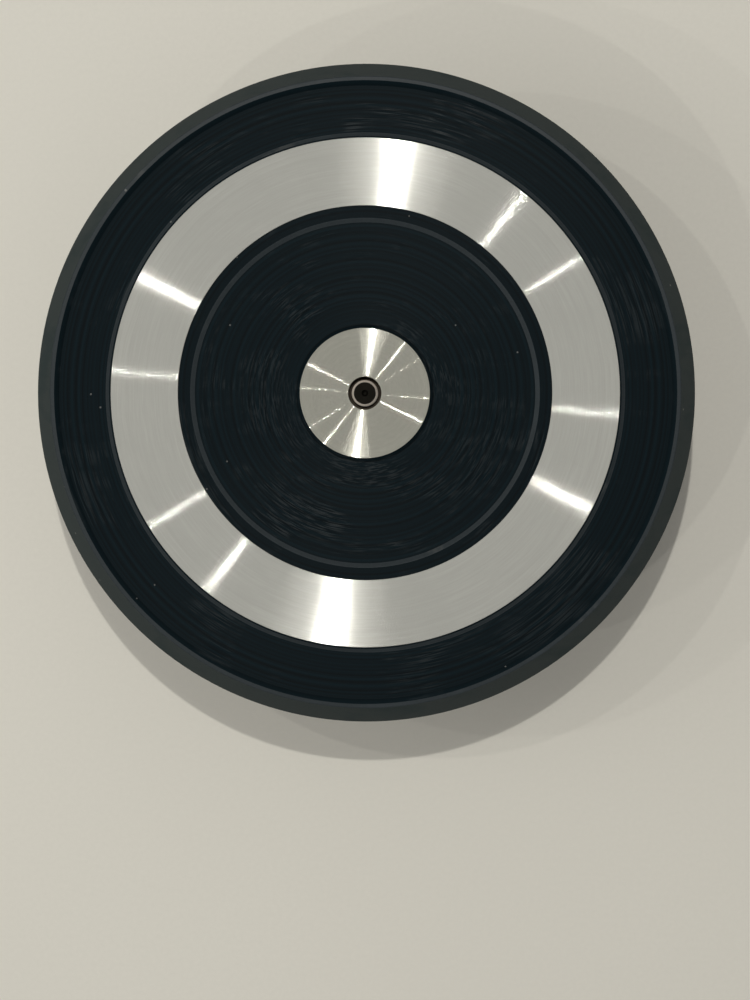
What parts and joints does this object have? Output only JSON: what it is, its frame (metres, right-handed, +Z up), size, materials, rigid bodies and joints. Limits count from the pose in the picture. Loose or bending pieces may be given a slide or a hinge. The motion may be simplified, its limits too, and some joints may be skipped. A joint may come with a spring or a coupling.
{
  "type": "banding wheel",
  "caption": "Round grooved turntable on a short bell-shaped pedestal, spun by hand on ball bearings for decorating pottery.",
  "frame": {"origin": "on the floor, at the spin axis, where the feet stand", "axes": "+Z up along the spin axis; +X and +Y lie level, with the feet at 45 degrees to them"},
  "size_m": [0.3048, 0.3048, 0.11],
  "materials": {
    "head_casting": "gloss black enamel on cast iron, with turned grooves; two machined lands are bare, brushed round the axis",
    "pedestal_casting": "black enamel on cast iron",
    "spindle_steel": "ground steel with a slight brown tarnish",
    "bearing_steel": "polished bearing steel",
    "cage_nylon": "natural nylon",
    "seal_rubber": "matte black nitrile",
    "foot_rubber": "matte black rubber",
    "plated_steel": "zinc-plated steel",
    "dark_steel": "black-oxide spring steel"
  },
  "bodies": {
    "base": {"pedestal": "pedestal_casting", "upper_outer_race": "bearing_steel", "lower_outer_race": "bearing_steel", "upper_bearing_top_seal": "seal_rubber", "upper_bearing_bottom_seal": "seal_rubber", "lower_bearing_top_seal": "seal_rubber", "lower_bearing_bottom_seal": "seal_rubber", "housing_retaining_ring": "dark_steel", "bottom_cap": "plated_steel", "cap_screw_1": "plated_steel", "cap_screw_2": "plated_steel", "cap_screw_3": "plated_steel", "rubber_foot_1": "foot_rubber", "rubber_foot_2": "foot_rubber", "rubber_foot_3": "foot_rubber", "rubber_foot_4": "foot_rubber", "foot_screw_1": "plated_steel", "foot_screw_2": "plated_steel", "foot_screw_3": "plated_steel", "foot_screw_4": "plated_steel"},
    "head": {"wheel_head": "head_casting", "spindle": "spindle_steel", "hub_set_screw_1": "dark_steel", "hub_set_screw_2": "dark_steel", "upper_inner_race": "bearing_steel", "lower_inner_race": "bearing_steel", "race_spacer": "plated_steel", "spindle_washer": "plated_steel", "spindle_retaining_ring": "dark_steel", "shaft_seal": "seal_rubber"},
    "upper_cage": {"upper_ball_cage": "cage_nylon", "upper_ball_1": "bearing_steel", "upper_ball_2": "bearing_steel", "upper_ball_3": "bearing_steel", "upper_ball_4": "bearing_steel", "upper_ball_5": "bearing_steel", "upper_ball_6": "bearing_steel", "upper_ball_7": "bearing_steel"},
    "lower_cage": {"lower_ball_cage": "cage_nylon", "lower_ball_1": "bearing_steel", "lower_ball_2": "bearing_steel", "lower_ball_3": "bearing_steel", "lower_ball_4": "bearing_steel", "lower_ball_5": "bearing_steel", "lower_ball_6": "bearing_steel", "lower_ball_7": "bearing_steel"}
  },
  "joints": [
    {"name": "head_spin", "type": "hinge", "parent": "base", "child": "head", "pos_m": [0, 0, 0.09], "axis": [0, 0, 1], "continuous": true},
    {"name": "upper_cage_spin", "type": "hinge", "parent": "base", "child": "upper_cage", "pos_m": [0, 0, 0.066], "axis": [0, 0, 1], "continuous": true},
    {"name": "lower_cage_spin", "type": "hinge", "parent": "base", "child": "lower_cage", "pos_m": [0, 0, 0.0239], "axis": [0, 0, 1], "continuous": true}
  ],
  "couplings": [
    {"joint": "upper_cage_spin", "follows": "head_spin", "ratio": 0.3647},
    {"joint": "lower_cage_spin", "follows": "head_spin", "ratio": 0.3647}
  ]
}
